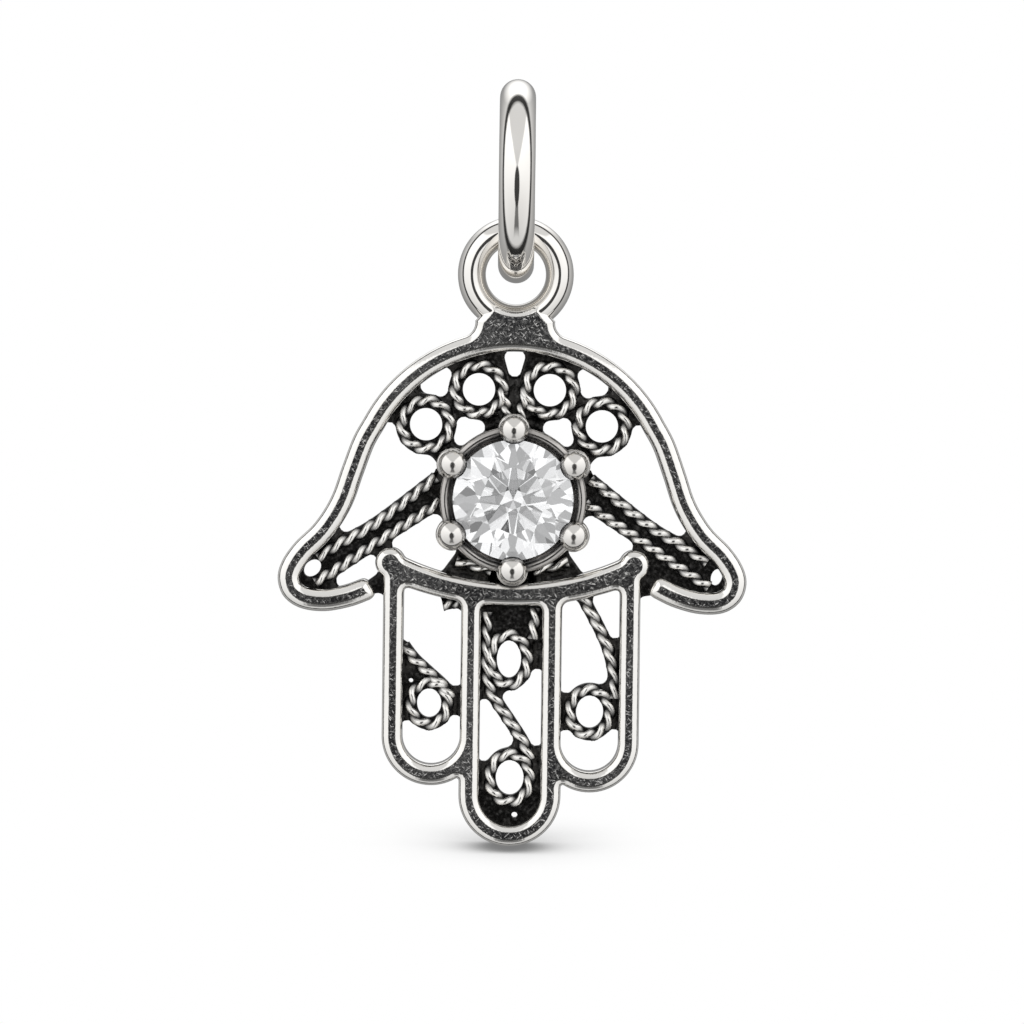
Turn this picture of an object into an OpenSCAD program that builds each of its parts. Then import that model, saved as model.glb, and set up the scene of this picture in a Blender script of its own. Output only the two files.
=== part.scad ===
// Hamsa pendant in oxidised silver: a pierced open hand with twisted-wire
// scrolls and one round stone in six claws, hung from a plain jump ring.
// +Z is up, +X is to the right seen from the front, and the front looks along -Y.
// The origin is the inner top of the jump ring, where a chain bears.

/* [Jump ring] */
// Thickness of the round wire
ring_wire = 1.2; // [0.9:0.05:1.4]
// Clear inside diameter of the ring
ring_bore = 4.4; // [4:0.1:6]

/* [Top loop] */
// Diameter of the hole that the jump ring runs through
loop_bore = 2; // [1.8:0.05:2.6]
// Width of the metal round the hole
loop_wall = 0.93; // [0.7:0.01:1.2]
// Clearance between the hole and the ring's wire
hang_gap = 0.1; // [0.08:0.01:0.2]
// Radius of the hollow curve that joins the loop to the palm
neck_fillet = 0.5; // [0.35:0.05:0.7]

/* [Palm rim] */
// Width over the two thumbs
palm_w = 15.6; // [14:0.1:18]
// Height from the crown to the underside of the thumbs
palm_h = 9.45; // [8.6:0.05:11]
// Width of the rim's bar
rim_w = 0.74; // [0.6:0.01:0.9]
// Thickness of the casting from front to back
body_t = 1.4; // [1.2:0.05:1.8]
// Width of the rounding along each front edge
edge_r = 0.2; // [0.12:0.01:0.25]
// How far each side wall leans in from back to front
draft = 0.06; // [0.02:0.01:0.1]

/* [Crossbar] */
// Thickness of the bar in the middle of its sag
cross_w = 0.78; // [0.6:0.01:1]
// Height from the crown down to the bar's upper edge in the middle
cross_drop = 8.42; // [8.3:0.01:8.6]
// Thickness of the bar at its two ends
cross_end_w = 1; // [0.85:0.01:1.15]
// Radius of the upper edge's sag
cross_sag_r = 8.6; // [7.5:0.1:11]
// Radius of the round knob at each end
knob_r = 0.5; // [0.42:0.01:0.6]
// How far a knob stands out past the side of the fingers
knob_out = 0.28; // [0.15:0.01:0.35]

/* [Fingers] */
// Distance from one finger's middle to the next
finger_pitch = 2.64; // [2.6:0.01:2.8]
// Width of a side finger's window
side_window_w = 1.92; // [1.7:0.01:2.1]
// Width of the middle finger's window
middle_window_w = 2.04; // [1.8:0.01:2.2]
// Width of the bar round a finger
finger_bar_w = 0.68; // [0.56:0.01:0.8]
// Height from the crown to the left finger's tip
left_tip = 15.2; // [14.6:0.05:16]
// Height from the crown to the middle finger's tip
middle_tip = 17.2; // [16.8:0.05:18.5]
// Height from the crown to the right finger's tip
right_tip = 15.38; // [14.6:0.05:16]

/* [Filigree] */
// Thickness of the twisted wire
rope_d = 0.42; // [0.32:0.01:0.5]
// How far the twisted wire stands above the web
rope_rise = 0.24; // [0.16:0.01:0.3]
// Distance from one lobe of the twist to the next
lobe_pitch = 0.52; // [0.44:0.01:0.7]
// Radius of each of the four palm rings, to the wire's middle
palm_ring_r = 0.81; // [0.7:0.01:0.9]
// Thickness of the sunk web behind the wire
web_t = 0.5; // [0.3:0.05:0.7]
// Depth of the web's face below the front of the rim
web_sink = 0.62; // [0.5:0.02:0.76]
// Width of web that shows on each side of a wire
web_margin = 0.06; // [0.04:0.01:0.12]
// Radius in the corners of the pierced gaps
gap_fillet = 0.16; // [0.1:0.01:0.2]

/* [Setting] */
// Number of claws
claw_count = 6; // [4:1:8]
// Radius of the ball on each claw
claw_ball_r = 0.48; // [0.4:0.01:0.55]
// Radius of the stem under each ball
claw_stem_r = 0.54; // [0.46:0.01:0.6]
// Distance from the stone's edge out to the claws' middle
claw_reach = 0.33; // [0.28:0.01:0.45]
// Thickness of the gallery wire round the stone
gallery_wire = 0.34; // [0.26:0.01:0.4]
// Width of the base ring under the gallery
base_ring_w = 0.75; // [0.6:0.05:0.9]

/* [Stone] */
// Diameter of the round stone
stone_d = 4; // [3.6:0.05:4.2]
// Table width as a share of the diameter
table_share = 0.56; // [0.5:0.01:0.62]
// Crown height as a share of the diameter
crown_share = 0.15; // [0.12:0.01:0.17]
// Pavilion depth as a share of the diameter
pavilion_share = 0.43; // [0.41:0.01:0.44]
// Thickness of the girdle
girdle_t = 0.1; // [0.06:0.01:0.16]
// Height of the girdle's middle in front of the casting's mid plane
girdle_lift = 1.2; // [1.15:0.05:1.5]
// Clearance between the stone and its claws
seat_gap = 0.05; // [0.05:0.01:0.08]

/* [Hidden] */
overlap = 0.1;      // how far joined forms run into each other
lobe_lean = 32;      // degrees between a lobe and the run of its rope
lobe_l = 1.76 * rope_d;
lobe_w = 0.72 * rope_d;
mid_share = 0.3;     // inset of a rounding's middle, as a share of its radius
cross_edge_r = edge_r + 0.01; // the crossbar's rounding, a hair wider than that of the fingers it covers
loop_edge = 0.3;     // rounding of the top loop's edges
loop_steps = 26;     // flats round the top loop
neck_runs = [14, 6]; // degrees that the neck's curve runs on into the loop and the rim

// Heights, from the top down
ring_mid_r = (ring_bore + ring_wire) / 2;
ring_z = -ring_bore / 2;
wire_z = ring_z - ring_mid_r;
loop_z = wire_z + ring_wire / 2 + hang_gap - loop_bore / 2;
loop_r = loop_bore / 2 + loop_wall;
crown_z = loop_z - loop_r + overlap;
cross_z = crown_z - cross_drop;
front = body_t / 2;
back = -body_t / 2;
web_front = front - web_sink;
web_back = web_front - web_t;

// The palm's outline, as shares of half its width and of its height
crown_share_x = 0.724;
crown_share_z = 0.599;
crown_end = 62; // degrees from the top where the crown's arc gives way to the flank
flank = [
    // x share, z share
    [0.685, 0.387], [0.732, 0.493], [0.777, 0.599], [0.844, 0.689],
    [0.927, 0.758], [0.982, 0.824], [1, 0.886], [0.974, 0.949],
    [0.904, 0.989], [0.801, 1], [0.692, 0.984], [0.605, 0.957]
];
crown_mid = [0, crown_z - crown_share_z * palm_h];
palm_ring_out = palm_ring_r + rope_d / 2 + web_margin;
ring_angles = [18, 50]; // degrees from the top to the two rings of each side

// The wire that runs on from each inner ring to the top claw, in ring radii from the ring's middle
ring_tail = [[-1, -0.15], [-1.12, -0.65], [-1.2, -1.2]];

// Struts of twisted wire from the setting to the thumb tips, in the same shares
upper_strut = [[0.33, 0.525], [0.517, 0.647], [0.623, 0.709], [0.729, 0.757], [0.812, 0.806]];
lower_strut = [[0.31, 0.61], [0.44, 0.68], [0.58, 0.756], [0.71, 0.829], [0.84, 0.9]];
thumb_web = [0.846, 0.868];
thumb_web_r = 0.72;
thumb_hole = [0.854, 0.85];
thumb_hole_size = [0.2, 0.32];
thumb_bridge_r = 0.36; // the web between each thumb's cut end and the fingers

// Fingers: middle, window width and tip height
fingers = [
    [-finger_pitch, side_window_w, left_tip],
    [0, middle_window_w, middle_tip],
    [finger_pitch, side_window_w, right_tip]
];

// Scrolls in the finger windows: sideways shares of half the window,
// downward shares of the window's height
left_scroll = [[-0.98, 0.3], [-0.62, 0.38], [0.0, 0.475], [0.45, 0.545], [0.68, 0.61]];
left_ring = [-0.08, 0.64, 0.62, 0.65];
left_stub = [[1.1, 0.03], [0.35, 0.058]];
middle_stem = [[-0.8, 0.03], [-0.82, 0.12], [-0.84, 0.2], [-0.82, 0.3], [-0.62, 0.4], [0.0, 0.53],
               [0.42, 0.62], [0.66, 0.7]];
middle_rings = [[-0.07, 0.245, 0.62, 0.84], [0, 0.785, 0.68, 0.77]];
right_scroll = [[-0.42, -0.03], [-0.1, 0.06], [0.36, 0.2], [0.66, 0.32], [0.84, 0.46], [0.82, 0.58]];
right_ring = [0.0, 0.66, 0.66, 0.74];
window_rings = [[fingers[0], left_ring], [fingers[1], middle_rings[0]], [fingers[1], middle_rings[1]],
                [fingers[2], right_ring]];
recess_h = 1.02;    // height of the closed web at the top of the middle window
tip_web_h = 0.25;   // rise of the middle tip's closed web above its round end
tip_pinhole = [0.17, 0.955];
pinhole_r = 0.1;

// Curves
function reversed(p) = [for (i = [len(p) - 1:-1:0]) p[i]];
function mirrored(p) = [for (q = p) [-q[0], q[1]]];
function last(p) = p[len(p) - 1];
function ahead(p, i) = let (a = p[max(i - 1, 0)], b = p[min(i + 1, len(p) - 1)]) (b - a) / norm(b - a);
function left_of(t) = [-t[1], t[0]];
function shifted(p, d) = [for (i = [0:len(p) - 1]) p[i] + d * left_of(ahead(p, i))];
function spline_at(a, b, c, d, t) =
    0.5 * (2 * b + (c - a) * t + (2 * a - 5 * b + 4 * c - d) * t * t + (3 * b - a - 3 * c + d) * t * t * t);
function spline(p, steps) = concat(
    [for (i = [0:len(p) - 2], k = [0:steps - 1])
        spline_at(p[max(i - 1, 0)], p[i], p[i + 1], p[min(i + 2, len(p) - 1)], k / steps)],
    [last(p)]);
function oval(mid, rx, rz, steps, from = 0, to = 360) =
    [for (k = [0:steps]) let (a = from + (to - from) * k / steps) mid + [rx * cos(a), rz * sin(a)]];
function runs(p) = [for (i = 0, s = 0; i < len(p);
    s = s + (i < len(p) - 1 ? norm(p[i + 1] - p[i]) : 0), i = i + 1) s];

// A share of the palm turned into a place
function palm_at(q) = [q[0] * palm_w / 2, crown_z - q[1] * palm_h];
function palm_path(p, steps) = spline([for (q = p) palm_at(q)], steps);

// The rim's outer edge on the right, from the crown to the thumb's cut end
function rim_half() = concat(
    [for (a = [0:crown_end / 8:crown_end])
        crown_mid + [crown_share_x * palm_w / 2 * sin(a), crown_share_z * palm_h * cos(a)]],
    spline([for (q = flank) palm_at(q)], 2));
function rim_line() = shifted(concat(reversed(mirrored(rim_half())), [for (i = [1:len(rim_half()) - 1]) rim_half()[i]]), -rim_w / 2);

// The rim's middle line over the crown, out to an angle on both sides
function crown_arc(end) = [for (k = [-3:3]) let (a = end * k / 3)
    crown_mid + [(crown_share_x * palm_w / 2 - rim_w / 2) * sin(a), (crown_share_z * palm_h - rim_w / 2) * cos(a)]];

// Places on the palm
function palm_ring(k) = let (
    a = ring_angles[k],
    rx = crown_share_x * palm_w / 2 - rim_w - palm_ring_out,
    rz = crown_share_z * palm_h - rim_w - palm_ring_out)
    crown_mid + [rx * sin(a), rz * cos(a)];

// Fingers
finger_edge = finger_pitch + side_window_w / 2 + finger_bar_w;
knob_x = finger_edge - knob_r + knob_out;
top_rise = cross_sag_r - sqrt(cross_sag_r * cross_sag_r - knob_x * knob_x);
low_rise = top_rise - cross_end_w + cross_w;
cross_low_r = (knob_x * knob_x + low_rise * low_rise) / (2 * low_rise);
function cross_low(x) = cross_z - cross_w + cross_low_r - sqrt(cross_low_r * cross_low_r - x * x);
function cross_top(x) = cross_z + cross_sag_r - sqrt(cross_sag_r * cross_sag_r - x * x);
function window_r(f) = f[1] / 2;
function tip_mid(f) = crown_z - f[2] + finger_bar_w + window_r(f);
function window_top(f) = cross_low(f[0]);
function window_h(f) = window_top(f) - tip_mid(f) + window_r(f);
function bar_top(x) = [x, cross_low(x) + cross_w / 2];
function finger_line(f) = let (r = window_r(f) + finger_bar_w / 2)
    concat([bar_top(f[0] - r)],
           [for (a = [180:15:360]) [f[0], tip_mid(f)] + r * [cos(a), sin(a)]],
           [bar_top(f[0] + r)]);
function in_finger(f, q) = [f[0] + q[0] * window_r(f), window_top(f) - q[1] * window_h(f)];
function finger_path(f, p, steps) = spline([for (q = p) in_finger(f, q)], steps);
function finger_ring(f, g) = oval(in_finger(f, g), g[2], g[3], 20);

// Setting
stone_r = stone_d / 2;
claw_at = stone_r + claw_reach;
ball_lift = girdle_lift + seat_gap;
claw_neck = ball_lift - 2 * claw_ball_r / 3;
collar_t = 0.12;
gallery_r = stone_r + 2 * seat_gap + gallery_wire / 2;
gallery_lift = girdle_lift - 0.9 * gallery_wire;
seat_lap = 0.3;      // how far the base ring reaches in under the stone
base_in = stone_r - seat_lap;
base_out = base_in + base_ring_w;
base_rise = 0.25;    // how far the base ring stands above the web
base_low = web_back + overlap;
base_high = web_front + base_rise;
claw_sides = 10;
ring_steps = 28;     // flats round the setting's rings

// Where the crown's stars and the pavilion's lower halves end, as shares of the stone's radius
star_share = 0.76;
low_share = 0.22;

// The web and the wires between the setting and the crossbar, in claw distances from the stone's middle
seat_web = [[0.75, -0.69], [0.99, -1.02]];
seat_rope = [[0.8, -0.88], [0.3, -1.02]];

// Lays a flat drawing upright and gives it a depth, between two heights in front of the mid plane
module slab(low, high) {
    translate([0, -low, 0]) rotate([90, 0, 0]) linear_extrude(high - low) children();
}

// Sweeps a cross section along a line in the upright plane.
// sections holds one outline for each point of the line: across and forward.
module sweep(line, sections) {
    n = len(line);
    m = len(sections[0]);
    points = [for (i = [0:n - 1], q = sections[i])
        let (place = line[i] + q[0] * left_of(ahead(line, i)))
        [place[0], -q[1], place[1]]];
    walls = [for (i = [0:n - 2], k = [0:m - 1])
        [i * m + k, (i + 1) * m + k, (i + 1) * m + (k + 1) % m, i * m + (k + 1) % m]];
    polyhedron(points, concat(
        walls,
        [[for (k = [0:m - 1]) k], [for (k = [m - 1:-1:0]) (n - 1) * m + k]]));
}

// Turns a profile of [radius, height] rows, listed counter-clockwise, round the upright axis.
// A hollow one is a hoop, and any other is closed by its first and last rows.
module turned(rows, count, hollow = false) {
    m = len(rows);
    points = [for (k = [0:count - 1], q = rows) let (a = 360 * k / count) [q[0] * cos(a), q[0] * sin(a), q[1]]];
    walls = [for (k = [0:count - 1], j = [0:m - (hollow ? 1 : 2)])
        let (here = k * m, there = (k + 1) % count * m, next = (j + 1) % m)
        [here + j, here + next, there + next, there + j]];
    ends = hollow ? [] : [[for (k = [0:count - 1]) k * m], [for (k = [count - 1:-1:0]) k * m + m - 1]];
    polyhedron(points, concat(walls, ends));
}

// The section of a cast bar: leaning walls, rounded front edges and a flat face
function bar_section(w, r = edge_r) = [
    [-w / 2, back], [w / 2, back],
    [w / 2 - draft, front - r], [w / 2 - draft - mid_share * r, front - mid_share * r], [w / 2 - draft - r, front],
    [-w / 2 + draft + r, front], [-w / 2 + draft + mid_share * r, front - mid_share * r], [-w / 2 + draft, front - r]
];
module bar(line, w) {
    sweep(line, [for (p = line) bar_section(w)]);
}

// Twisted wire in relief: a row of slanted lobes, which always lean the same way.
// A lobe is a six-sided base with a flat-topped ridge.
module lobe(half_l, half_w, height) {
    base = [for (k = [0:5]) [half_l * cos(60 * k), half_w * sin(60 * k), -overlap]];
    ridge = [for (q = [[1, 1], [-1, 1], [-1, -1], [1, -1]]) [0.5 * half_l * q[0], 0.35 * half_w * q[1], height]];
    polyhedron(concat(base, ridge), [
        [0, 1, 2, 3, 4, 5], [6, 9, 8, 7],
        [1, 6, 7, 2], [4, 8, 9, 5],
        [0, 6, 1], [5, 9, 0], [0, 9, 6],
        [2, 7, 3], [3, 8, 4], [3, 7, 8]
    ]);
}
module rope(line) {
    s = runs(line);
    total = last(s);
    count = round(total / lobe_pitch);
    for (k = [0:count - 1]) {
        run = (k + 0.5) * total / count;
        i = [for (n = [0:len(line) - 2]) if (s[n] <= run && run < s[n + 1]) n][0];
        step = line[i + 1] - line[i];
        place = line[i] + step * (run - s[i]) / (s[i + 1] - s[i]);
        translate([place[0], -web_front, place[1]]) rotate([90, 0, 0])
            rotate(atan2(step[1], step[0]) + lobe_lean)
                lobe(lobe_l / 2, lobe_w / 2, rope_rise);
    }
}

module palm_rope(p) {
    rope(palm_path(p, 6));
}
module finger_rope(f, p) {
    rope(finger_path(f, p, 6));
}

// A flat band along a line
module band(line, half) {
    polygon(concat(shifted(line, half), reversed(shifted(line, -half))));
}

module top_loop() {
    translate([0, 0, loop_z]) rotate([90, 0, 0]) turned(loop_section(), loop_steps, true);
}
function loop_section() = let (a = loop_bore / 2, b = loop_r, c = loop_edge, m = mid_share * loop_edge) [
    [a, back + c], [a + c, back], [b - c, back], [b, back + c],
    [b, front - c], [b - m, front - m], [b - c, front], [a + c, front], [a + m, front - m], [a, front - c]
];

// The neck: a hollow curve down each side and a flat face between them
module neck() {
    crown_r = crown_share_z * palm_h;
    a = loop_r + neck_fillet;
    b = crown_r + neck_fillet;
    drop = loop_z - crown_mid[1];
    fillet_z = loop_z - (a * a - b * b + drop * drop) / (2 * drop);
    fillet_x = sqrt(a * a - pow(loop_z - fillet_z, 2));
    r = neck_fillet + rim_w / 2;
    up = atan2(loop_z - fillet_z, -fillet_x);
    down = atan2(crown_mid[1] - fillet_z, -fillet_x) + 360;
    side = oval([fillet_x, fillet_z], r, r, 8, up - neck_runs[0], down + neck_runs[1]);
    bar(side, rim_w);
    bar(reversed(mirrored(side)), rim_w);
    slab(back, front) difference() {
        polygon(concat(mirrored(side), crown_arc(asin(last(side)[0] / crown_r)), reversed(side)));
        translate([0, loop_z]) circle((loop_bore + loop_wall) / 2, $fn = loop_steps);
    }
}

module crossbar_flat() {
    x = knob_x;
    polygon(concat(
        [for (k = [0:12]) let (q = -x + 2 * x * k / 12) [q, cross_low(q)]],
        [for (k = [12:-1:0]) let (q = -x + 2 * x * k / 12) [q, cross_top(q)]]));
}
function cross_line() = [for (k = [0:12]) let (x = -knob_x + 2 * knob_x * k / 12) [x, (cross_top(x) + cross_low(x)) / 2]];
module crossbar() {
    line = cross_line();
    sweep(line, [for (p = line) bar_section(cross_top(p[0]) - cross_low(p[0]), cross_edge_r)]);
    for (side = [-1, 1])
        translate([side * knob_x, 0, cross_top(knob_x) - knob_r + overlap]) rotate([90, 0, 0])
            turned([[knob_r, back], [knob_r - draft, front - edge_r],
                    [knob_r - draft - mid_share * edge_r, front - mid_share * edge_r],
                    [knob_r - draft - edge_r, front]], 16);
}

module frame_bars() {
    bar(rim_line(), rim_w);
    top_loop();
    neck();
    crossbar();
    for (f = fingers) bar(finger_line(f), finger_bar_w);
}

// The pierced web, drawn flat: whatever the wires, rings and claws stand on
module palm_web() {
    wire = rope_d / 2 + web_margin;
    for (s = [-1, 1]) scale([s, 1]) {
        for (k = [0, 1]) translate(palm_ring(k)) circle(palm_ring_out, $fn = 20);
        for (i = [0:len(upper_strut) - 2]) hull() {
            for (q = [upper_strut[i], upper_strut[i + 1], lower_strut[i], lower_strut[i + 1]])
                translate(palm_at(q)) circle(wire, $fn = 10);
        }
        translate(palm_at(thumb_web)) circle(thumb_web_r, $fn = 20);
        translate([finger_edge, palm_at(last(flank))[1]] + thumb_bridge_r * [0.55, 1.25])
            circle(thumb_bridge_r, $fn = 12);
        hull() {
            translate(palm_ring(0) - [palm_ring_r, 0]) circle(rope_d / 2, $fn = 10);
            translate(crown_mid + [0, claw_at]) circle(claw_stem_r + web_margin, $fn = 16);
        }
        hull() {
            translate(palm_ring(1) - palm_ring_r * [0.37, 0.62]) circle(palm_ring_r / 2, $fn = 10);
            translate(crown_mid + claw_at * [cos(30), sin(30)]) circle(claw_stem_r, $fn = 16);
        }
    }
    translate(crown_mid) {
        circle(base_out + web_margin, $fn = ring_steps);
        polygon([for (q = concat(mirrored(seat_web), reversed(seat_web))) claw_at * q]);
    }
}

module finger_web() {
    wire = rope_d / 2 + web_margin;
    middle = fingers[1];
    band(finger_path(fingers[0], left_scroll, 2), wire);
    band(finger_path(fingers[0], left_stub, 2), wire);
    band(finger_path(middle, middle_stem, 2), wire);
    band(finger_path(fingers[2], right_scroll, 2), wire);
    for (g = window_rings) translate(in_finger(g[0], g[1]))
        scale([g[1][2] + wire, g[1][3] + wire]) circle(1, $fn = 20);
    translate([-window_r(middle) - overlap, window_top(middle) - recess_h])
        square([middle_window_w + 2 * overlap, recess_h + overlap]);
    translate([0, tip_mid(middle)]) difference() {
        circle(window_r(middle) + overlap, $fn = 20);
        translate([-middle_window_w, tip_web_h]) square(2 * middle_window_w);
    }
}

// The bars, drawn inside their leaning walls
module flat_bars() {
    band(rim_line(), rim_w / 2 - draft);
    for (f = fingers) band(finger_line(f), finger_bar_w / 2 - draft);
    offset(delta = -draft) crossbar_flat();
}

// The area that the bars enclose, out to their middles
module inside_bars() {
    polygon(rim_line());
    for (f = fingers) polygon(finger_line(f));
}

module pierced_web() {
    slab(web_back, web_front) difference() {
        intersection() {
            offset(r = -gap_fillet, $fn = 8) offset(delta = gap_fillet) {
                palm_web();
                finger_web();
                flat_bars();
            }
            inside_bars();
        }
        for (s = [-1, 1], k = [0, 1]) {
            p = palm_ring(k);
            translate([s * p[0], p[1]]) circle(palm_ring_r - rope_d / 2 - web_margin, $fn = 18);
        }
        for (s = [-1, 1]) scale([s, 1]) translate(palm_at(thumb_hole)) rotate(-45)
            scale(thumb_hole_size) circle(1, $fn = 12);
        for (g = window_rings) translate(in_finger(g[0], g[1]))
            scale([g[1][2] - rope_d / 2, g[1][3] - rope_d / 2]) circle(1, $fn = 18);
        translate(in_finger(fingers[1], tip_pinhole)) circle(pinhole_r, $fn = 6);
        translate(crown_mid) circle(base_in + overlap, $fn = ring_steps);
    }
}

module ropes() {
    for (s = [-1, 1]) {
        for (k = [0, 1]) {
            p = palm_ring(k);
            rope(oval([s * p[0], p[1]], palm_ring_r, palm_ring_r, 20));
        }
        rope([for (q = ring_tail) let (p = palm_ring(0) + palm_ring_r * q) [s * p[0], p[1]]]);
        rope([for (q = seat_rope) crown_mid + claw_at * [s * q[0], q[1]]]);
        palm_rope([for (q = upper_strut) [s * q[0], q[1]]]);
        palm_rope([for (q = lower_strut) [s * q[0], q[1]]]);
    }
    finger_rope(fingers[0], left_scroll);
    finger_rope(fingers[0], left_stub);
    finger_rope(fingers[1], middle_stem);
    finger_rope(fingers[2], right_scroll);
    for (g = window_rings) rope(finger_ring(g[0], g[1]));
}

// A ball-topped claw standing on the web
module claw() {
    hull() {
        translate([0, 0, base_low + overlap]) cylinder(r = claw_stem_r, h = collar_t, $fn = claw_sides);
        translate([0, 0, claw_neck - collar_t])
            cylinder(r1 = claw_stem_r, r2 = claw_stem_r - collar_t, h = collar_t, $fn = claw_sides);
    }
    translate([0, 0, ball_lift]) sphere(claw_ball_r, $fn = claw_sides);
}

module setting() {
    translate([0, 0, crown_mid[1]]) rotate([90, 0, 0]) {
        for (k = [0:claw_count - 1]) rotate(90 + 360 * k / claw_count)
            translate([claw_at, 0, 0]) claw();
        turned([for (a = [0:60:300]) [gallery_r, gallery_lift] + gallery_wire / 2 * [cos(a), sin(a)]],
               ring_steps, true);
        turned([[base_in, base_low], [base_out, base_low], [base_out, base_high], [base_in, base_high]],
               ring_steps, true);
    }
}

// The room that the stone takes, with its clearance
module stone_room() {
    r = stone_r + seat_gap;
    half = girdle_t / 2 + seat_gap;
    translate([0, -girdle_lift, crown_mid[1]]) rotate([90, 0, 0]) turned([
        [overlap, -half - pavilion_share * stone_d], [r, -half],
        [r, half], [r * table_share, half + crown_share * stone_d]
    ], 32);
}

module hand() {
    color("silver") difference() {
        union() {
            frame_bars();
            pierced_web();
            ropes();
            setting();
        }
        stone_room();
    }
}

// A ring of points round the stone's axis, every 360 / count degrees from a first angle
function round_points(count, first, r, z) =
    [for (k = [0:count - 1]) let (a = first + 360 * k / count) [r * cos(a), r * sin(a), z]];

// A round brilliant: table, 8 stars, 8 mains and 16 upper halves above the girdle,
// then 16 lower halves and 8 mains that meet in the culet
module stone() {
    crown_h = crown_share * stone_d;
    pavilion_h = pavilion_share * stone_d;
    table_r = table_share * stone_r;
    star_r = star_share * stone_r;
    low_r = low_share * stone_r;
    half = girdle_t / 2;
    star_z = half + crown_h * (stone_r - star_r * cos(22.5)) / (stone_r - table_r);
    low_z = -half - pavilion_h * (stone_r - low_r * cos(22.5)) / stone_r;
    points = concat(
        round_points(8, 0, table_r, half + crown_h),
        round_points(8, 22.5, star_r, star_z),
        round_points(16, 0, stone_r, half),
        round_points(16, 0, stone_r, -half),
        round_points(8, 22.5, low_r, low_z),
        [[0, 0, -half - pavilion_h]]);
    star = 8;
    top = 16;
    under = 32;
    low = 48;
    culet = 56;
    color("white") translate([0, -girdle_lift, crown_mid[1]]) rotate([90, 0, 0])
        polyhedron(points, concat(
            [[for (k = [7:-1:0]) k]],
            [for (k = [0:7]) [k, (k + 1) % 8, star + k]],
            [for (k = [0:7]) [k, star + k, top + 2 * k, star + (k + 7) % 8]],
            [for (k = [0:7]) [star + k, top + 2 * k + 1, top + 2 * k]],
            [for (k = [0:7]) [star + k, top + (2 * k + 2) % 16, top + 2 * k + 1]],
            [for (k = [0:15]) [top + k, top + (k + 1) % 16, under + (k + 1) % 16, under + k]],
            [for (k = [0:7]) [low + k, under + 2 * k, under + 2 * k + 1]],
            [for (k = [0:7]) [low + k, under + 2 * k + 1, under + (2 * k + 2) % 16]],
            [for (k = [0:7]) [culet, low + (k + 7) % 8, under + 2 * k, low + k]]
        ));
}

module jump_ring() {
    color("gainsboro") translate([0, 0, ring_z]) rotate([0, 90, 0])
        rotate_extrude($fn = 72) translate([ring_mid_r, 0]) circle(ring_wire / 2, $fn = 24);
}

hand();
stone();
jump_ring();
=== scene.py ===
# Hamsa pendant: a cast, oxidised silver hand with twisted wires and a round stone, on a polished jump ring.
# Each piece is drawn flat in millimetres (x right, y up, z towards the viewer), then stood up in metres.
import math
import bpy
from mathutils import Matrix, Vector


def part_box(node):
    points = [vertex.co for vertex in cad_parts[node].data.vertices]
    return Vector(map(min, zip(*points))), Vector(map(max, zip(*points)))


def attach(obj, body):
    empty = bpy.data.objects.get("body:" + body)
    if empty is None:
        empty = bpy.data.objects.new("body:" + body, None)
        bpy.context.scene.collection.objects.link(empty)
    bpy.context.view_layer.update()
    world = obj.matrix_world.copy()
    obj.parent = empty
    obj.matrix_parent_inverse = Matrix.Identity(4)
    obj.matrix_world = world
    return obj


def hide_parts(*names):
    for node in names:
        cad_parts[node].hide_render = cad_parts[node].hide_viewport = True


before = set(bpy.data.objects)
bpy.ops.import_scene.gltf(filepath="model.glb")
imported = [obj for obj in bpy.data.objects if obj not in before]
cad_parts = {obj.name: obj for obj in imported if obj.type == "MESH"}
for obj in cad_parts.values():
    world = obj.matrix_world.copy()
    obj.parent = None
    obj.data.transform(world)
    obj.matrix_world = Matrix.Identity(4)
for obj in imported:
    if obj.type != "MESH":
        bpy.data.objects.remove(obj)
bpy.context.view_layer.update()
scene = bpy.context.scene


# Places taken from the CAD frame, in millimetres
def boxInMm(node):
    low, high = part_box(node)
    return low * 1000, high * 1000


ringLow, ringHigh = boxInMm("jump_ring")
stoneLow, stoneHigh = boxInMm("stone")
handLow, handHigh = boxInMm("hand")
wireR = (ringHigh.x - ringLow.x) / 2
ringMidR = (ringHigh.y - ringLow.y) / 2 - wireR
ringMidY = (ringHigh.z + ringLow.z) / 2
stoneR = (stoneHigh.x - stoneLow.x) / 2
stoneMid = (0, (stoneHigh.z + stoneLow.z) / 2)
palmHalfW = handHigh.x
castFront = handHigh.y
castBack = -castFront

loop = {"holeR": 1.0, "wall": 0.93, "clearance": 0.1, "sunkInPalm": 0.1, "neckR": 0.5, "waviness": 0.012}
loopMid = (0, ringMidY - ringMidR + wireR + loop["clearance"] - loop["holeR"])
loopOutR = loop["holeR"] + loop["wall"]
crownY = loopMid[1] - loopOutR + loop["sunkInPalm"]


# Drawing
def arc(mid, radius, start, end, steps, height=None):
    tall = height or radius
    angles = [math.radians(start + (end - start) * k / steps) for k in range(steps + 1)]
    return [(mid[0] + radius * math.cos(a), mid[1] + tall * math.sin(a)) for a in angles]


def disc(mid, radius, height=None, steps=48):
    return arc(mid, radius, 0, 360, steps, height)[:-1]


def mirrored(line):
    return [(-x, y) for x, y in reversed(line)]


def smoothLine(points, steps=8):  # a soft line through all the points
    line = []
    for i in range(len(points) - 1):
        a, b, c, d = (Vector(points[min(max(i + k, 0), len(points) - 1)]) for k in (-1, 0, 1, 2))
        for k in range(steps):
            t = k / steps
            p = 0.5 * (2 * b + (c - a) * t + (2 * a - 5 * b + 4 * c - d) * t ** 2
                       + (3 * b - a - 3 * c + d) * t ** 3)
            line.append((p.x, p.y))
    return line + [tuple(points[-1])]


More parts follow.
